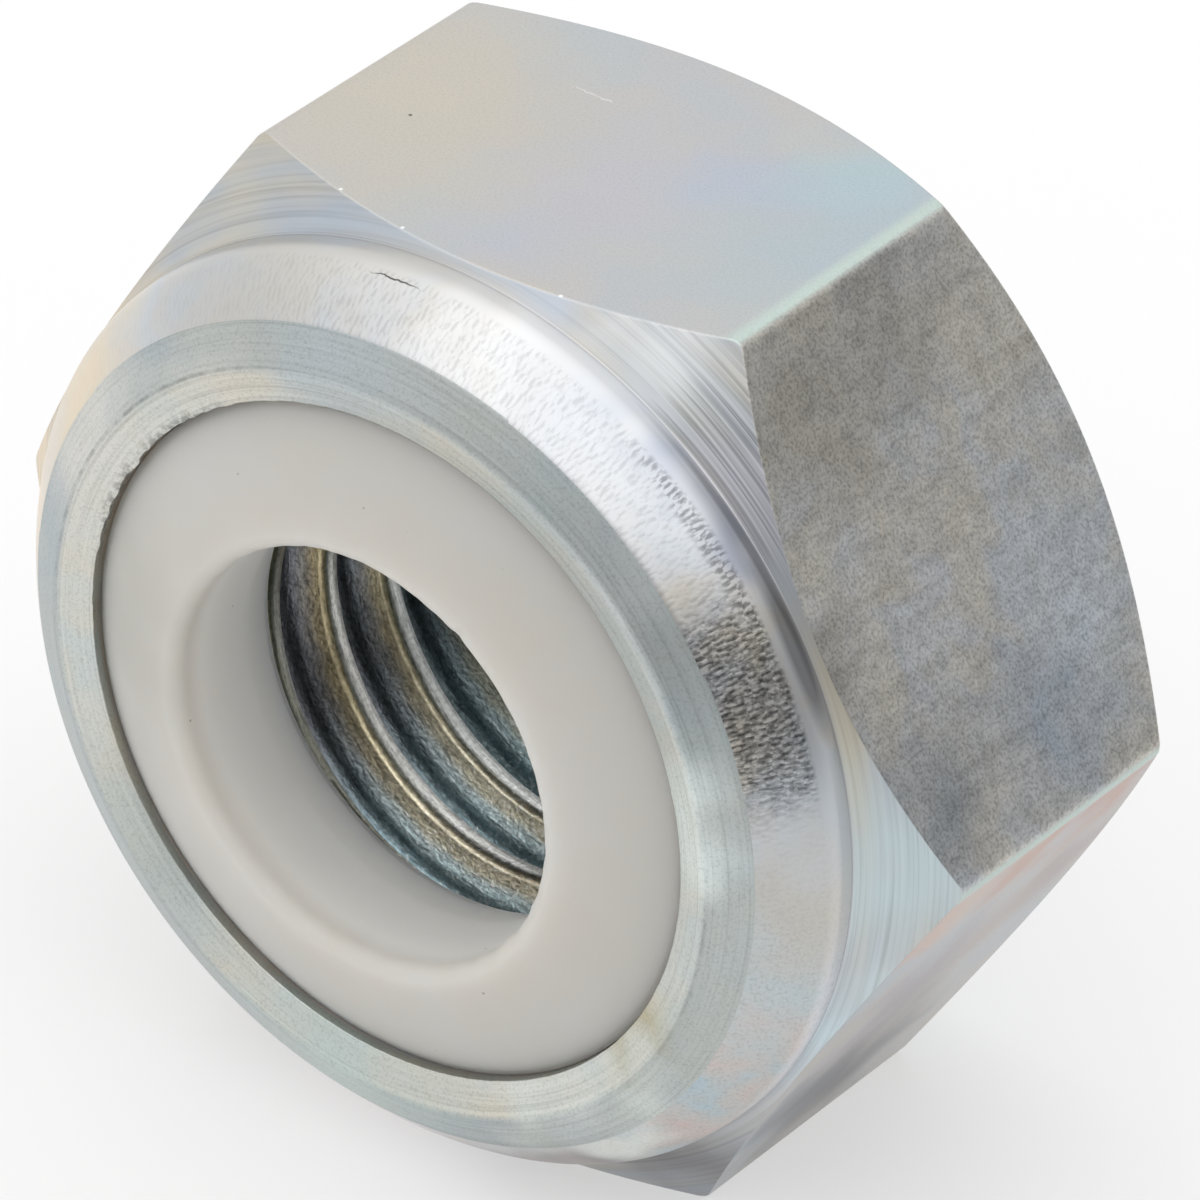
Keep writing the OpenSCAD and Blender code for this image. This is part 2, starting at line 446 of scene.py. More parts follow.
def streak(tree, along, across, middle, half_length, half_width, wobble=0):
    """A mask for one thin mark: along runs with it, and across at right angles to it. Wobble is how far it
    bends to each side."""
    offset = add(tree, "Math", {0: along, 1: middle[0]}, operation="SUBTRACT").outputs[0]
    if wobble:
        crook = add(tree, "TexNoise", {"W": along, "Scale": 4, "Detail": 2}, noise_dimensions="1D").outputs[0]
        crook = add(tree, "Math", {0: crook, 1: 0.5}, operation="SUBTRACT").outputs[0]
        across = add(tree, "Math", {0: crook, 1: 4 * wobble, 2: across}, operation="MULTIPLY_ADD").outputs[0]
    aside = add(tree, "Math", {0: across, 1: middle[1]}, operation="SUBTRACT").outputs[0]
    share = add(tree, "CombineXYZ", {
        0: add(tree, "Math", {0: offset, 1: half_length}, operation="DIVIDE").outputs[0],
        1: add(tree, "Math", {0: aside, 1: half_width}, operation="DIVIDE").outputs[0]}).outputs[0]
    reach = add(tree, "VectorMath", {0: share}, operation="LENGTH").outputs["Value"]
    mask = add(tree, "MapRange", {"Value": reach, "From Min": 0.5, "From Max": 1, "To Min": 1, "To Max": 0})
    return mask.outputs[0]


def drawn_flats():
    """Flats of a cold-drawn bar under zinc and clear passivation: a fine even satin grain and a slow tint
    from cream over lilac to cyan. The pair of flats that face 30 degrees above +X and the other way was
    rougher stock: dull, with dark pits of about 0.06 mm and faint lines along the bar."""
    material, tree, shader, where = start_material("zinc_plated_steel_drawn")
    rough_side = (cos(pi / 6), 0, sin(pi / 6))
    facing = add(tree, "VectorMath", {0: where["across"], 1: rough_side}, operation="DOT_PRODUCT")
    facing = add(tree, "Math", {0: facing.outputs["Value"]}, operation="ABSOLUTE").outputs[0]
    half = FLATS / 2 / MM
    rough = add(tree, "MapRange", {"Value": facing, "From Min": half - 0.06,
                                   "From Max": half - 0.015}).outputs[0]
    # A strip of the other flats along the edge that they share with the dull ones is pale green
    beside = add(tree, "MapRange", {"Value": facing, "From Min": half - 0.32, "From Max": half - 0.12},
                 interpolation_type="SMOOTHSTEP").outputs[0]

    satin = mottled(tree, where, [
        (0.32, "#c6c2ba"), (0.45, "#c3c1bf"), (0.55, "#bfc0c2"), (0.68, "#bac1c6")], 4, 2)
    satin = stained(tree, where, satin, [
        # Top flat: cream on the left, lilac in the middle, cyan on the right
        (-4.5, 4, 8.5, 5, "#cac3b6", 0.8), (-2.6, 5.8, 8.5, 4, "#c9c3b5", 0.5),
        (0.8, 4.6, 8.5, 2.6, "#bfbfca", 0.6), (4.6, 4, 8.5, 4.6, "#b3c1c8", 0.85),
        (3.4, 1.8, 8.5, 1.8, "#b0cbd0", 0.5), (0.4, 7, 8.5, 2, "#bcbfc8", 0.7),
        (2, 3, 8.5, 1.6, "#b7bfd0", 0.5),
        # Lower right flat: peach along its upper edge, and painted shade that darkens it further down
        (9.5, 2.2, -0.9, 1.7, "#c3a193", 0.85), (9.4, 4.6, -0.9, 1.8, "#c3a193", 0.85),
        (9.2, 6.6, -0.9, 1.6, "#d4b3a4", 0.6), (7.5, 5, -4.2, 3, "#ada3a6", 0.7),
        (8, 2, -3.1, 2.4, "#ad9f9f", 0.7), (5.9, 5, -6.8, 3.2, "#79797d", 0.9),
        (6.2, 6.4, -6.2, 2.2, "#7a7b80", 0.75)])
    satin = add(tree, "Mix", {0: beside, 6: satin, 7: linear("#c3d0cb")}, data_type="RGBA").outputs[2]
    # The real grain is too fine to show, so it is drawn coarser, at 0.045 mm
    fine = grain(tree, where, 0.045, 1)
    satin = darkened(tree, satin, fine, [(0.3, 0.91), (0.55, 1.0)])
    # One broken scratch, one dark speck and three bright nicks at the front edge, all on the top flat
    scratch = streak(tree, where["x"], where["depth"], (-1.3, 2.59), 0.8, 0.02, 0.06)
    broken = grain(tree, where, 0.3, 8)
    scratch = add(tree, "MapRange", {"Value": broken, "From Min": 0.42, "From Max": 0.55,
                                     "To Max": scratch}).outputs[0]
    satin = add(tree, "Mix", {0: scratch, 6: satin, 7: linear("#dddbd7")}, data_type="RGBA").outputs[2]
    # These have plain borders, not wavy ones
    still = dict(where, wavy=where["point"])
    for x, depth, tint in ((-3.37, 5.04, "#6c6a66"), (-2.79, 7.54, "#f2f4f5"), (-1.3, 7.8, "#f2f4f5"),
                           (1.9, 7.75, "#f2f4f5")):
        spot = near(tree, still, x, depth, 8.5, 0.05)
        satin = add(tree, "Mix", {0: spot, 6: satin, 7: linear(tint)}, data_type="RGBA").outputs[2]

    # Brownish at the top, bluish lower down
    dull = mottled(tree, where, [(0.35, "#d3cfc6"), (0.5, "#d1cfca"), (0.65, "#cdd0d3")], 1.6, 7)
    dull = stained(tree, where, dull, [
        (5.8, 6.4, 7.2, 3, "#b3aea3", 0.85), (5.3, 3.6, 7.8, 2.4, "#aeaca6", 0.85),
        (8.9, 3.4, 1.3, 2.8, "#adb7c3", 0.9), (8, 1.8, 3.2, 2.4, "#cdd5de", 0.6),
        (8.9, 6.7, 1.6, 2.2, "#a1a7ad", 0.9), (7.7, 3.4, 3.7, 0.9, "#c2cddc", 0.5),
        (8.6, 2.1, 2.3, 1.7, "#d0dae4", 0.75), (7.6, 7.9, 3.8, 1.4, "#a39f98", 0.8)])
    along_bar = add(tree, "VectorMath", {0: where["point"], 1: (5, 0.35, 5)}, operation="MULTIPLY").outputs[0]
    lines = add(tree, "TexNoise", {"Vector": along_bar, "Scale": 1, "Detail": 3}).outputs[0]
    pits = grain(tree, where, 0.06, 4)
    dull = darkened(tree, dull, lines, [(0.35, 0.9), (0.55, 1.0)])
    dull = darkened(tree, dull, grain(tree, where, 0.35, 5), [(0.35, 0.87), (0.6, 1.0)])
    dull = darkened(tree, dull, pits, [(0.3, 0.66), (0.46, 0.86), (0.62, 1.0)])
    colour = add(tree, "Mix", {0: rough, 6: satin, 7: dull}, data_type="RGBA").outputs[2]
    relief = add(tree, "Mix", {0: rough, 2: fine, 3: pits}, data_type="FLOAT").outputs[0]
    strength = add(tree, "MapRange", {"Value": rough, "To Min": 0.06, "To Max": 0.6}).outputs[0]
    finish_metal(tree, shader, colour, 0.42, relief, strength, 0.01)
    return material


def turned_chamfers():
    """Chamfers and bearing face, turned: fine rings about 0.07 mm apart, with bands of cream and blue where
    the passivation is thicker, and deeper lines at the corner to the right of the top."""
    material, tree, shader, where = start_material("zinc_plated_steel_turned")
    outward = add(tree, "CombineXYZ", {1: where["radius"]}).outputs[0]
    banded = add(tree, "VectorMath", {0: outward, 1: where["round"]}, operation="ADD").outputs[0]
    colour = mottled(tree, dict(where, wavy=banded), [
        (0.3, "#cec6b2"), (0.42, "#c8c5bd"), (0.55, "#bfc2c4"), (0.7, "#b7c1cd")], 0.7, 5)
    # Front chamfer: creamy on the left, pale and bluish on the right, and painted shade at the lower right
    colour = stained(tree, where, colour, [
        (-8, 7.4, 3.4, 3.4, "#e8d4b0", 0.9), (-4.6, 7.6, 7.2, 2.2, "#d2cdbf", 0.7),
        (-9.4, 7.2, 0.4, 2.4, "#f0ddc0", 0.8), (8.3, 7.4, -3.3, 2.6, "#cfdfe5", 0.9),
        (1.4, 7.9, 8.3, 1.6, "#c3cddd", 0.6), (3.8, 7.6, 8.2, 1.9, "#dde0e2", 0.9),
        (5.7, 7.7, 6.5, 1.7, "#cdcdd6", 0.85), (8.9, 7.4, 0.5, 3, "#c3d3d8", 0.85),
        (6.6, 7.6, -5, 2.6, "#cacdd3", 0.75), (5, 7.8, -7, 3.2, "#848284", 0.9)])
    lines = tool_rings(tree, where, "radius", 0.07, 1)
    deep = near(tree, where, 5.3, 7.6, 6.9, 2.4)
    colour = darkened(tree, colour, lines, [(0.3, 0.78), (0.5, 0.95), (0.7, 1.0)])
    close_lines = tool_rings(tree, where, "radius", 0.05, 4)
    colour = darkened(tree, colour, close_lines, [(0.42, 0.6), (0.56, 1.0)], deep)
    finish_metal(tree, shader, colour, 0.36, lines, 0.25, 0.005)
    return material


def rolled_collar():
    """Collar, rolled in by a tool that chattered: bright metal with rows of short strokes about 0.11 mm
    apart, coarse and dark to the right of the top and fine to its left. The plain band below them is
    smooth."""
    material, tree, shader, where = start_material("zinc_plated_steel_rolled")
    crease = CREASE / MM
    band_end = BAND / MM
    colour = mottled(tree, where, [(0.35, "#cfcac0"), (0.5, "#cdcdcd"), (0.65, "#c8ced4")], 2, 9)
    film = mottled(tree, dict(where, wavy=where["point"]), [
        (0.32, "#d0c0bc"), (0.46, "#c9c7c4"), (0.54, "#c4c6c5"), (0.68, "#b9c9d0")], 1.1, 15)
    colour = add(tree, "Mix", {0: near(tree, where, 6.5, 9, -4.5, 6), 6: colour, 7: film},
                 data_type="RGBA").outputs[2]
    colour = stained(tree, where, colour, [
        # Cream on the left, near white right of the top
        (-7, 8.8, 3.8, 3.2, "#e9d9bd", 0.85), (-8, 8.8, 0.5, 3, "#f2e0c6", 0.85),
        (3.2, 9, 7.2, 4.4, "#d8dadd", 0.85),
        # Blue on the plain band right of the top
        (5.9, 8.3, 6, 1.1, "#9ea5b5", 0.85), (4.8, 8.25, 6.9, 1.1, "#aeb5c4", 0.8),
        (3.6, 8.2, 7.6, 1.1, "#bfc6d2", 0.7),
        # Round the top
        (-0.9, 9, 8, 2.8, "#c3c5c6", 0.7), (1.3, 9, 7.8, 1.5, "#e6e7e9", 0.6),
        (-3.6, 9, 7.2, 2.6, "#c2c1bc", 0.7),
        # Painted light underneath: pale where the wall mirrors the paper in the nut's shadow, with peach,
        # cyan and dark spots at the lower right
        (-1.5, 9, -8, 4.4, "#f0e8e6", 0.9), (-5.8, 9, -5.6, 3, "#ece7e4", 0.9),
        (7.9, 9, -0.3, 2.6, "#bab9b4", 0.7), (4.9, 9, -6.2, 1.5, "#eef3ee", 0.85),
        (5.6, 8.6, -6, 1, "#b49f99", 0.6), (4.2, 8.6, -7.1, 1.2, "#9a8e8c", 0.8),
        (7.6, 9, -1.8, 1.8, "#bccacf", 0.6), (5.6, 8.3, -6.4, 0.9, "#b3c8d0", 0.7),
        (4.4, 8.2, -7.2, 1.5, "#857a78", 0.8), (2.8, 8.5, -7.4, 1.6, "#948785", 0.8)])
    # At the lower right the plain band is painted lighter, a painted reflection in place of the dark side it
    # mirrors, and the whole wall has fine dots
    low_right = near(tree, where, 7.2, 9, -3.6, 6)
    band = add(tree, "MapRange", {"Value": where["depth"], "From Min": band_end - 0.32,
                                  "From Max": band_end + 0.03, "To Min": 0.7, "To Max": 0})
    band = add(tree, "Math", {0: band.outputs[0], 1: low_right}, operation="MULTIPLY").outputs[0]
    colour = add(tree, "Mix", {0: band, 6: colour, 7: linear("#f6f4f8")}, data_type="RGBA").outputs[2]
    colour = darkened(tree, colour, grain(tree, where, 0.06, 22), [(0.32, 0.86), (0.52, 1.0)], low_right)
    wall = add(tree, "MapRange", {"Value": where["depth"], "From Min": band_end, "From Max": band_end + 0.12},
               interpolation_type="SMOOTHSTEP").outputs[0]

    # A sine wave round the collar in rows, each row shifted against the next, and broken up by noise
    stroke_spacing = 0.11
    row_height = 0.17
    drift = add(tree, "TexNoise", {"Vector": where["point"], "Scale": 1.6, "Detail": 2}).outputs[0]
    row = add(tree, "Math", {0: where["depth"], 1: row_height}, operation="DIVIDE").outputs[0]
    row = add(tree, "Math", {0: drift, 1: 3, 2: row}, operation="MULTIPLY_ADD").outputs[0]
    row = add(tree, "Math", {0: row}, operation="FLOOR").outputs[0]
    beat = add(tree, "Math", {0: where["arc"], 1: 2 * pi / stroke_spacing}, operation="MULTIPLY").outputs[0]
    beat = add(tree, "Math", {0: row, 1: 2.6, 2: beat}, operation="MULTIPLY_ADD").outputs[0]
    beat = add(tree, "Math", {0: drift, 1: 14, 2: beat}, operation="MULTIPLY_ADD").outputs[0]
    beat = add(tree, "Math", {0: beat}, operation="SINE").outputs[0]
    across = add(tree, "Math", {0: where["arc"], 1: 14}, operation="MULTIPLY").outputs[0]
    along = add(tree, "Math", {0: where["depth"], 1: 5.5}, operation="MULTIPLY").outputs[0]
    place_on_wall = add(tree, "CombineXYZ", {0: across, 1: along}).outputs[0]
    broken = add(tree, "TexNoise", {"Vector": place_on_wall, "Scale": 1, "Detail": 2, "Roughness": 0.6})
    strokes = add(tree, "Math", {0: beat, 1: 0.09, 2: broken.outputs[0]}, operation="MULTIPLY_ADD").outputs[0]

    # Where the strokes are coarse, and how strong they are elsewhere
    coarse = near(tree, where, 7.1, 9, 3.5, 2.4)
    coarse = add(tree, "Math", {0: coarse, 1: wall}, operation="MULTIPLY").outputs[0]
    shown = near(tree, where, 3, 9, 7, 9)
    shown = add(tree, "MapRange", {"Value": shown, "To Min": 0.15, "To Max": 0.6}).outputs[0]
    shown = add(tree, "Math", {0: shown, 1: wall}, operation="MULTIPLY").outputs[0]
    colour = darkened(tree, colour, strokes, [(0.32, 0.7), (0.48, 0.93), (0.62, 1.0)], shown)
    colour = darkened(tree, colour, strokes, [(0.3, 0.3), (0.46, 0.6), (0.62, 1.0)], coarse)
    # Between the strokes the metal is torn, which breaks up their rows
    colour = darkened(tree, colour, grain(tree, where, 0.1, 24), [(0.36, 0.55), (0.56, 1.0)], coarse)
    # Dark dashes along the foot of the strokes, and two painted shadows on the plain band, right of the top
    dashes = streak(tree, where["arc"], where["depth"], (5.8, band_end + 0.15), 2.2, 0.18)
    colour = darkened(tree, colour, strokes, [(0.42, 0.58), (0.56, 1.0)], dashes)
    for arc, up, length, width, strength in ((7.8, 0.21, 1.6, 0.27, 0.62), (6.2, 0.11, 2.8, 0.12, 0.5)):
        shadow = streak(tree, where["arc"], where["depth"], (arc, crease + up), length, width)
        shadow = add(tree, "Math", {0: shadow, 1: strength}, operation="MULTIPLY").outputs[0]
        colour = add(tree, "Mix", {0: shadow, 6: colour, 7: linear("#4b4b4f")}, data_type="RGBA").outputs[2]
    # A painted shade line along the crease
    line = add(tree, "MapRange", {"Value": where["depth"], "From Min": crease + 0.01,
                                  "From Max": crease + 0.06, "To Min": 0.5, "To Max": 0}).outputs[0]
    colour = add(tree, "Mix", {0: line, 6: colour, 7: linear("#8f8c93")}, data_type="RGBA").outputs[2]
    # One thin fold left of the top
    fold = streak(tree, where["arc"], where["depth"], (-0.64, band_end + 0.15), 0.55, 0.018, 0.03)
    colour = add(tree, "Mix", {0: fold, 6: colour, 7: linear("#5c5957")}, data_type="RGBA").outputs[2]
    strength = add(tree, "Math", {0: coarse, 1: 0.7, 2: 0.15}, operation="MULTIPLY_ADD").outputs[0]
    strength = add(tree, "Math", {0: strength, 1: wall}, operation="MULTIPLY").outputs[0]
    finish_metal(tree, shader, colour, 0.34, strokes, strength, 0.01)
    return material


def faced_lip():
    """Face and mouth of the rolled lip: satin grey with very fine rings, a creamy inner slope, and a thin
    dark line between the two, clear on the left and faint on the right."""
    material, tree, shader, where = start_material("zinc_plated_steel_faced")
    face = mottled(tree, where, [(0.35, "#bcc0bd"), (0.5, "#b9c0bf"), (0.65, "#b5bdc0")], 2.5, 12)
    slope = mottled(tree, where, [(0.35, "#dad6ca"), (0.5, "#d6d7d0"), (0.65, "#cfd6d4")], 2, 14)
    crown = CROWN_R / MM
    mouth = MOUTH_R / MM
    inside = add(tree, "MapRange", {"Value": where["radius"], "From Min": crown - 0.12,
                                    "From Max": crown + 0.04, "To Min": 1, "To Max": 0},
                 interpolation_type="SMOOTHSTEP").outputs[0]
    colour = add(tree, "Mix", {0: inside, 6: face, 7: slope}, data_type="RGBA").outputs[2]
    # Bluish at the top, cream on the left, pale green below and on the right, with one straw spot
    colour = stained(tree, where, colour, [
        (-1, 9.9, 7.1, 2.6, "#c0c8cc", 0.8), (-3.4, 9.75, 5.3, 1.8, "#dcd8cd", 0.6),
        (5.4, 9.75, -3, 0.5, "#cfbf88", 0.8), (-6.3, 9.8, 3.3, 2.6, "#dedcd6", 0.85),
        (-5, 9.8, -4.8, 3, "#b9c1bf", 0.8), (-0.8, 9.9, -7, 3.6, "#c8d4d1", 0.9),
        (4.9, 9.9, 5.3, 1.8, "#cfd4d4", 0.8), (6.1, 9.75, 1.2, 1.8, "#eef8f6", 0.95),
        (5.4, 9.8, -3, 1.3, "#b8b090", 0.8), (5.6, 9.9, -4.8, 1.7, "#d9dfd9", 0.8),
        (3.4, 9.75, -5.4, 1.6, "#dfe4df", 0.8)])
    lines = tool_rings(tree, where, "radius", 0.06, 3)
    colour = darkened(tree, colour, lines, [(0.3, 0.8), (0.5, 0.96), (0.65, 1.0)])
    colour = darkened(tree, colour, grain(tree, where, 0.05, 6), [(0.3, 0.85), (0.5, 1.0)])
    # The line between face and slope, strong on the left and faint on the right
    step = add(tree, "Math", {0: where["radius"], 1: crown + 0.02}, operation="SUBTRACT").outputs[0]
    step = add(tree, "Math", {0: step}, operation="ABSOLUTE").outputs[0]
    line = add(tree, "MapRange", {"Value": step, "From Min": 0.01, "From Max": 0.05,
                                  "To Min": 1, "To Max": 0}).outputs[0]
    left = near(tree, where, -5.6, 9.8, 4, 5)
    right = near(tree, where, 6, 9.8, -1.5, 5)
    shown = add(tree, "Math", {0: right, 1: 0.5, 2: left}, operation="MULTIPLY_ADD").outputs[0]
    line = add(tree, "Math", {0: line, 1: shown}, operation="MULTIPLY").outputs[0]
    colour = darkened(tree, colour, grain(tree, where, 0.3, 16), [(0.35, 0.62), (0.6, 0.95)], line)
    # Dark crumbs along the torn edge
    torn = grain(tree, where, 0.12, 17)
    crumbs = add(tree, "MapRange", {"Value": where["radius"], "From Min": mouth, "From Max": mouth + 0.2,
                                    "To Min": 1, "To Max": 0}).outputs[0]
    torn_side = near(tree, where, -5, 9.7, 3.6, 3.5)
    crumbs = add(tree, "Math", {0: crumbs, 1: torn_side}, operation="MULTIPLY").outputs[0]
    colour = darkened(tree, colour, torn, [(0.4, 0.5), (0.5, 0.85), (0.6, 1.0)], crumbs)
    finish_metal(tree, shader, colour, 0.38, lines, 0.25, 0.005)
    return material


def tapped_thread():
    """The tapped thread, seen from the ring's side: pale torn crests, a straw-coloured band next to each,
    then blue-green with painted shade that darkens it towards the root, all with scuffs along the helix, and
    painted light and shade over the whole. The share of a pitch past a crest's middle is depth / pitch - turn
    /
    360 degrees, plus what THREAD_START makes of it."""
    material, tree, shader, where = start_material("zinc_plated_steel_tapped")
    around = add(tree, "Math", {0: where["z"], 1: where["x"]}, operation="ARCTAN2").outputs[0]
    lead = add(tree, "Math", {0: around, 1: -1 / (2 * pi), 2: THREAD_START / (2 * pi) - 0.5},
               operation="MULTIPLY_ADD").outputs[0]
    pitches = add(tree, "Math", {0: where["depth"], 1: MM / PITCH, 2: lead},
                  operation="MULTIPLY_ADD").outputs[0]
    slow = add(tree, "TexNoise", {"Vector": where["point"], "Scale": 2.5, "Detail": 3}).outputs[0]
    uneven = add(tree, "Math", {0: slow, 1: 0.08, 2: pitches}, operation="MULTIPLY_ADD").outputs[0]
    share = add(tree, "Math", {0: uneven, 1: 0.04}, operation="SUBTRACT").outputs[0]
    share = add(tree, "Math", {0: share}, operation="FRACT").outputs[0]
    lit = add(tree, "ValToRGB", {0: share}, stops=[
        (0, "#f2f2ee"), (0.05, "#e2e0d8"), (0.08, "#d2cab2"), (0.12, "#f8eed4"), (0.2, "#f4ebd0"),
        (0.25, "#deedee"), (0.34, "#d2edf4"), (0.44, "#b0cdd7"), (0.8, "#b2bdc1"),
        (0.92, "#f2f2ee")]).outputs[0]
    dim = add(tree, "ValToRGB", {0: share}, stops=[
        (0, "#d4d3cf"), (0.05, "#c4c1b7"), (0.08, "#b8ac8c"), (0.12, "#dccea9"), (0.17, "#c2b391"),
        (0.22, "#98938a"), (0.3, "#90939a"), (0.44, "#80848a"), (0.8, "#8a8d8e"),
        (0.92, "#d4d3cf")]).outputs[0]
    # Painted light and shade: a lit and a shaded copy of the colours, shaded and brown at the upper left of
    # what the ring leaves to see, and brightest underneath
    dark_side = (cos(radians(170)), 0, sin(radians(170)))
    painted_shade = add(tree, "VectorMath", {0: where["across"], 1: dark_side}, operation="DOT_PRODUCT")
    painted_shade = add(tree, "MapRange", {"Value": painted_shade.outputs["Value"], "From Min": 0.3, "From Max": 3.6},
               interpolation_type="SMOOTHSTEP").outputs[0]
    colour = add(tree, "Mix", {0: painted_shade, 6: lit, 7: dim}, data_type="RGBA").outputs[2]
    # Next to the ring the colour turns dark olive-brown
    seat = SEAT / MM
    ledge = add(tree, "MapRange", {"Value": where["depth"], "From Min": seat - 0.3, "From Max": seat - 0.2,
                                   "To Min": 0, "To Max": 0.8}).outputs[0]
    colour = add(tree, "Mix", {0: ledge, 6: colour, 7: linear("#6f705e")}, data_type="RGBA").outputs[2]
    # Deeper in, less light gets to the flanks than the open hole of the model lets in
    deep = add(tree, "MapRange", {"Value": where["depth"], "From Min": 3, "From Max": 5.8,
                                  "To Min": 0.6, "To Max": 0}, interpolation_type="SMOOTHSTEP").outputs[0]
    colour = add(tree, "Mix", {0: deep, 6: colour, 7: linear("#6b8286")}, data_type="RGBA").outputs[2]
    # Scuffs along the helix, about 26 to the pitch, and torn grains
    across = add(tree, "Math", {0: pitches, 1: 26}, operation="MULTIPLY").outputs[0]
    along = add(tree, "Math", {0: where["arc"], 1: 1.2}, operation="MULTIPLY").outputs[0]
    track = add(tree, "CombineXYZ", {0: across, 1: along}).outputs[0]
    scuffs = add(tree, "TexNoise", {"Vector": track, "Scale": 1, "Detail": 4, "Roughness": 0.7}).outputs[0]
    torn = grain(tree, where, 0.08, 3)
    colour = darkened(tree, colour, scuffs, [(0.35, 0.52), (0.5, 0.87), (0.66, 1.0)])
    colour = darkened(tree, colour, torn, [(0.35, 0.75), (0.55, 1.0)])
    # The countersink is plain turned metal, up to where the groove cuts into it
    cone = add(tree, "Math", {0: where["depth"], 1: 1 / SINK_SLOPE, 2: where["radius"]},
               operation="MULTIPLY_ADD").outputs[0]
    cone = add(tree, "Math", {0: cone, 1: SINK_R / MM}, operation="SUBTRACT").outputs[0]
    cone = add(tree, "Math", {0: cone}, operation="ABSOLUTE").outputs[0]
    cone = add(tree, "MapRange", {"Value": cone, "From Min": 0.02, "From Max": 0.05,
                                  "To Min": 1, "To Max": 0}).outputs[0]
    rings = tool_rings(tree, where, "radius", 0.07, 2)
    turned = darkened(tree, linear("#c4c3be"), rings, [(0.35, 0.8), (0.6, 1.0)])
    colour = add(tree, "Mix", {0: cone, 6: colour, 7: turned}, data_type="RGBA").outputs[2]
    # Painted glints: white flecks where the thread is neither in the painted shade nor cut by the countersink
    hidden = add(tree, "Math", {0: painted_shade, 1: cone}, operation="ADD").outputs[0]
    strength = add(tree, "Math", {0: 0.5, 1: hidden}, operation="SUBTRACT", use_clamp=True).outputs[0]
    painted_glints = add(tree, "MapRange", {"Value": torn, "From Min": 0.61, "From Max": 0.69,
                                    "To Min": 0, "To Max": strength}).outputs[0]
    colour = add(tree, "Mix", {0: painted_glints, 6: colour, 7: linear("#ffffff")}, data_type="RGBA").outputs[2]
    relief = add(tree, "Mix", {0: 0.5, 2: scuffs, 3: torn}, data_type="FLOAT").outputs[0]
    finish_metal(tree, shader, colour, 0.3, relief, 0.5, 0.025)
    return material


def moulded_nylon():
    """Moulded polyamide: off-white and slightly translucent, so that light gets into the bore's wall, with a
    satin skin and a few dark specks."""
    material, tree, shader, where = start_material("moulded_pale_nylon")
    colour = mottled(tree, where, [(0.35, "#c5c2bb"), (0.65, "#c6c4c0")], 3, 20)
    colour = stained(tree, where, colour, [(-5.2, 10, 0.4, 3.6, "#b5b3ac", 0.9)])
    # The bore's wall takes in light from both ends, and looks lighter than the shaded face of a solid body
    wall = GRIP_R / MM + 0.4
    top = DOME / MM
    bore = add(tree, "MapRange", {"Value": where["radius"], "From Min": wall, "From Max": wall + 0.1,
                                  "To Min": 1, "To Max": 0}).outputs[0]
    inward = add(tree, "MapRange", {"Value": where["depth"], "From Min": top - 0.72, "From Max": top - 0.12,
                                    "To Min": 1, "To Max": 0}, interpolation_type="SMOOTHSTEP").outputs[0]
    bore = add(tree, "Math", {0: bore, 1: inward}, operation="MULTIPLY").outputs[0]
    colour = add(tree, "Mix", {0: bore, 6: colour, 7: linear("#dfdedb")}, data_type="RGBA").outputs[2]
    # Specks: a dot in each cell of a 0.45 mm pattern, as large as the cell's random red is above 0.55
    cells = add(tree, "TexVoronoi", {"Vector": where["point"], "Scale": 2.2}, feature="F1")
    keep = add(tree, "SeparateColor", {0: cells.outputs["Color"]}).outputs[0]
    size = add(tree, "MapRange", {"Value": keep, "From Min": 0.55, "From Max": 1,
                                  "To Min": 0, "To Max": 0.07}).outputs[0]
    speck = add(tree, "Math", {0: cells.outputs["Distance"], 1: size}, operation="LESS_THAN").outputs[0]
    colour = add(tree, "Mix", {0: speck, 6: colour, 7: linear("#9a948c")}, data_type="RGBA").outputs[2]
    tree.links.new(colour, shader.inputs["Base Color"])
    skin = grain(tree, where, 0.12, 21)
    bump = add(tree, "Bump", {"Height": skin, "Strength": 0.1, "Distance": 0.01 * MM}).outputs[0]
    tree.links.new(bump, shader.inputs["Normal"])
    shader.inputs["Roughness"].default_value = 0.5
    shader.inputs["IOR"].default_value = 1.53
    shader.inputs["Subsurface Weight"].default_value = 0.9
    shader.inputs["Subsurface Radius"].default_value = (1, 0.9, 0.8)
    shader.inputs["Subsurface Scale"].default_value = 1.8 * MM
    return material


FINISHES = ["drawn", "turned", "rolled", "faced", "tapped"]
steel = [drawn_flats(), turned_chamfers(), rolled_collar(), faced_lip(), tapped_thread()]


# Pieces

points, quads, finish = nut_body(FINISHES)
nut = solid("nut_body_finished", points, quads, finish, steel)
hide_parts("nut_body")
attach(nut, "root")

points, quads, finish = locking_ring()
ring = solid("locking_ring_finished", points, quads, finish, [moulded_nylon()])
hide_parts("locking_ring")
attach(ring, "root")


# Studio: a pale sweep, that is a floor whose far rim curves up, and a soft graded sky

def sweep():
    """A floor turned round the origin: flat to 4 m, then a quarter circle up to 1 m. Its middle is closed."""
    turn = np.linspace(0, 2 * pi, 96, endpoint=False)
    bend = np.linspace(0, pi / 2, 12)
    radius = np.concatenate([[0, 0.5, 2], 4 + np.sin(bend)])
    height = np.concatenate([[0, 0, 0], 1 - np.cos(bend)])
    points = np.stack([radius[:, None] * np.cos(turn), radius[:, None] * np.sin(turn),
                       height[:, None] + 0 * turn], -1)
    return points, weave(len(radius), len(turn)), np.zeros(len(turn) * (len(radius) - 1), dtype=int)


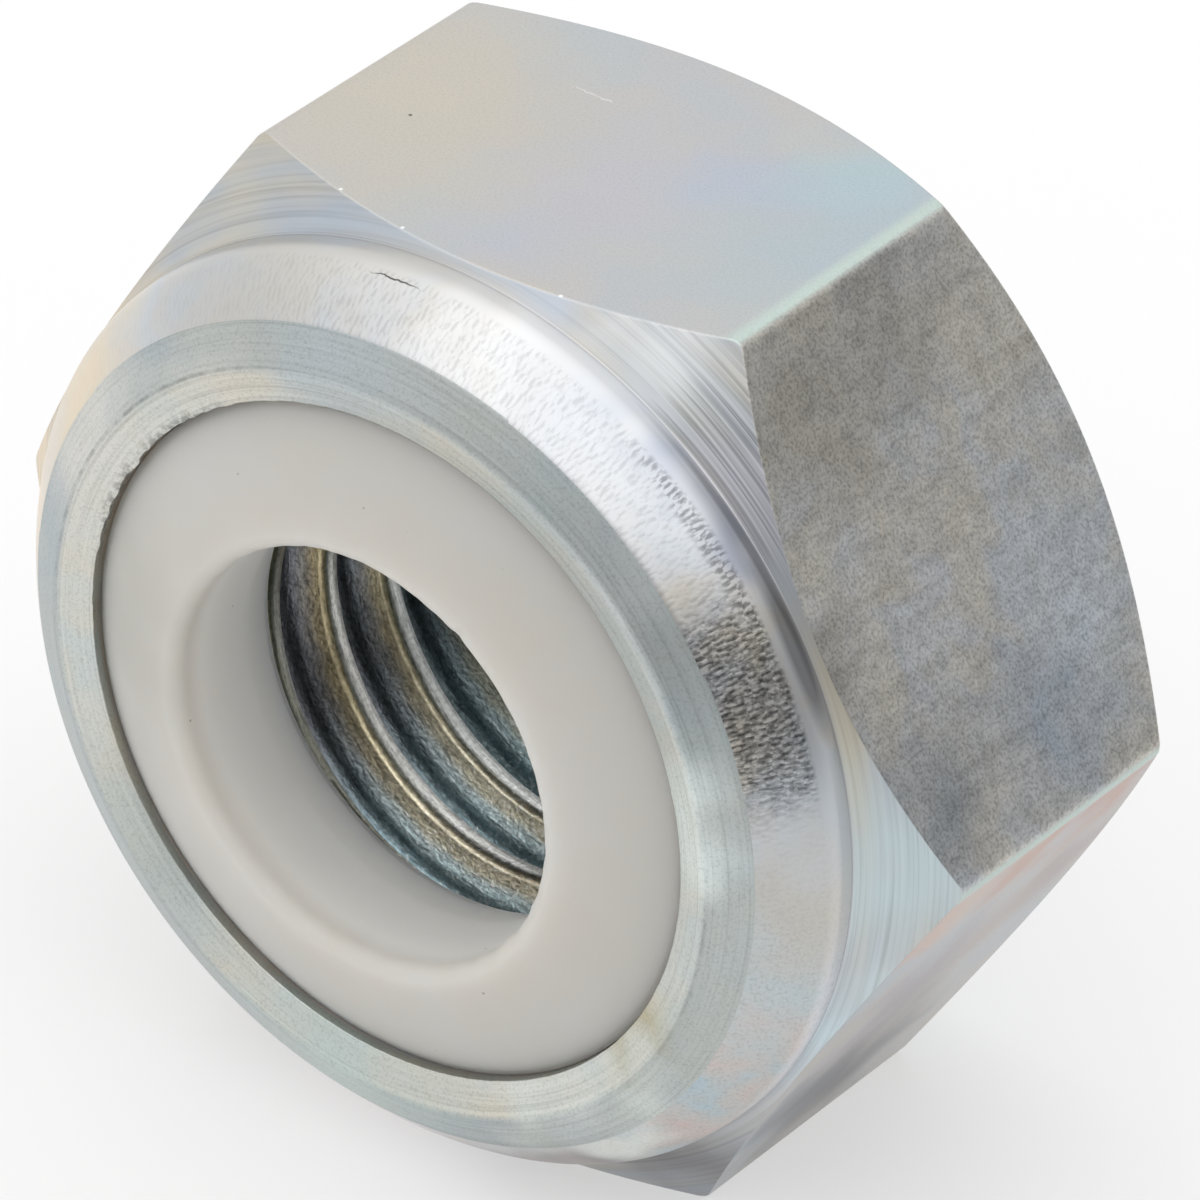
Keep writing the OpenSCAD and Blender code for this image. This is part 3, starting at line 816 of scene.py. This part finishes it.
def white_paper():
    """Matt white paper. It gets greyer with distance to the right of the view, where the room is dark."""
    material = bpy.data.materials.new("white_paper")
    material.use_nodes = True
    tree = material.node_tree
    shader = tree.nodes["Principled BSDF"]
    spot = add(tree, "TexCoord").outputs["Object"]
    away = add(tree, "VectorMath", {0: spot}, operation="LENGTH").outputs["Value"]
    right = add(tree, "VectorMath", {0: spot, 1: DARK_SIDE}, operation="DOT_PRODUCT").outputs["Value"]
    far = add(tree, "MapRange", {"Value": away, "From Min": 20 * MM, "From Max": 130 * MM},
              interpolation_type="SMOOTHSTEP").outputs[0]
    facing = add(tree, "Math", {0: right, 1: away}, operation="DIVIDE").outputs[0]
    facing = add(tree, "MapRange", {"Value": facing, "From Min": -0.6, "From Max": 0.9},
                 interpolation_type="SMOOTHSTEP").outputs[0]
    shade = add(tree, "Math", {0: far, 1: facing}, operation="MULTIPLY").outputs[0]
    colour = add(tree, "Mix", {0: shade, 6: linear("#f6f6f6"), 7: linear("#999999")},
                 data_type="RGBA").outputs[2]
    tree.links.new(colour, shader.inputs["Base Color"])
    shader.inputs["Roughness"].default_value = 1
    shader.inputs["Specular IOR Level"].default_value = 0
    # To the camera and in the metal, half of the paper is its plain colour, so that its shadows are pale
    glow = add(tree, "Emission", {"Color": colour, "Strength": 1}).outputs[0]
    ray = add(tree, "LightPath").outputs
    seen = add(tree, "Math", {0: ray["Is Camera Ray"], 1: ray["Is Glossy Ray"]}, operation="ADD").outputs[0]
    seen = add(tree, "Math", {0: seen, 1: ray["Is Transmission Ray"]}, operation="MAXIMUM").outputs[0]
    seen = add(tree, "Math", {0: seen, 1: 0.5}, operation="MULTIPLY").outputs[0]
    paper = add(tree, "MixShader", {0: seen, 1: shader.outputs[0], 2: glow}).outputs[0]
    tree.links.new(paper, tree.nodes["Material Output"].inputs["Surface"])
    # That light is only seen, so the paper isn't sampled as a lamp
    material.cycles.emission_sampling = "NONE"
    return material


# The room is darkest to the right of the view, 65 degrees from -Y towards +X
DARK_TURN = radians(65)
DARK_SIDE = (sin(DARK_TURN), -cos(DARK_TURN), 0)
# The bright part of the sky is centred 78 degrees up, a little to the front
LAMP_TURN = radians(10)
LAMP_RISE = radians(78)
LAMP_SIDE = (cos(LAMP_RISE) * sin(LAMP_TURN), -cos(LAMP_RISE) * cos(LAMP_TURN), sin(LAMP_RISE))
# Brightness of the sky away from the dark side, at the dark side, and in its bright part
SKY_LIGHT = 1.09
SKY_DARK = 0.32
SKY_LAMP = 1.42

points, quads, finish = sweep()
floor = solid("floor", points, quads, finish, [white_paper()])

world = bpy.data.worlds.new("studio")
world.use_nodes = True
bpy.context.scene.world = world
# The sky is smooth, so the rays that miss everything light the scene well enough, and it isn't sampled
# as a lamp
world.cycles.sampling_method = "NONE"
sky = world.node_tree
direction = add(sky, "TexCoord").outputs["Generated"]
to_dark = add(sky, "VectorMath", {0: direction, 1: DARK_SIDE}, operation="DOT_PRODUCT").outputs["Value"]
side = add(sky, "MapRange", {"Value": to_dark, "From Min": -1, "From Max": 1,
                             "To Min": SKY_LIGHT, "To Max": SKY_DARK})
to_lamp = add(sky, "VectorMath", {0: direction, 1: LAMP_SIDE}, operation="DOT_PRODUCT").outputs["Value"]
lift = add(sky, "MapRange", {"Value": to_lamp, "From Min": 0.38, "From Max": 0.78},
           interpolation_type="SMOOTHSTEP")
level = add(sky, "Mix", {0: lift.outputs[0], 2: side.outputs[0], 3: SKY_LAMP}, data_type="FLOAT")
sky.nodes["Background"].inputs["Color"].default_value = (1, 1, 1, 1)
sky.links.new(level.outputs[0], sky.nodes["Background"].inputs["Strength"])

# Camera at the photograph's viewing angle: turned 37.1 degrees from -Y towards +X and 34.1 degrees up
VIEW_TURN = radians(37.09)
VIEW_RISE = radians(34.10)
VIEW_ROLL = radians(1.834)
VIEW_DISTANCE = 182.06 * MM
AIM = Vector((0.387, 0.749, 8.790)) * MM
camera_data = bpy.data.cameras.new("camera")
camera_data.lens = 329.06
camera_data.sensor_width = 36
camera_data.clip_start = 10 * MM
camera = bpy.data.objects.new("camera", camera_data)
bpy.context.scene.collection.objects.link(camera)
look = Matrix.Rotation(VIEW_TURN, 4, "Z") @ Matrix.Rotation(pi / 2 - VIEW_RISE, 4, "X")
camera.matrix_world = (Matrix.Translation(AIM) @ look @ Matrix.Rotation(VIEW_ROLL, 4, "Z")
                       @ Matrix.Translation((0, 0, VIEW_DISTANCE)))
bpy.context.scene.camera = camera
bpy.context.scene.view_settings.view_transform = "Standard"
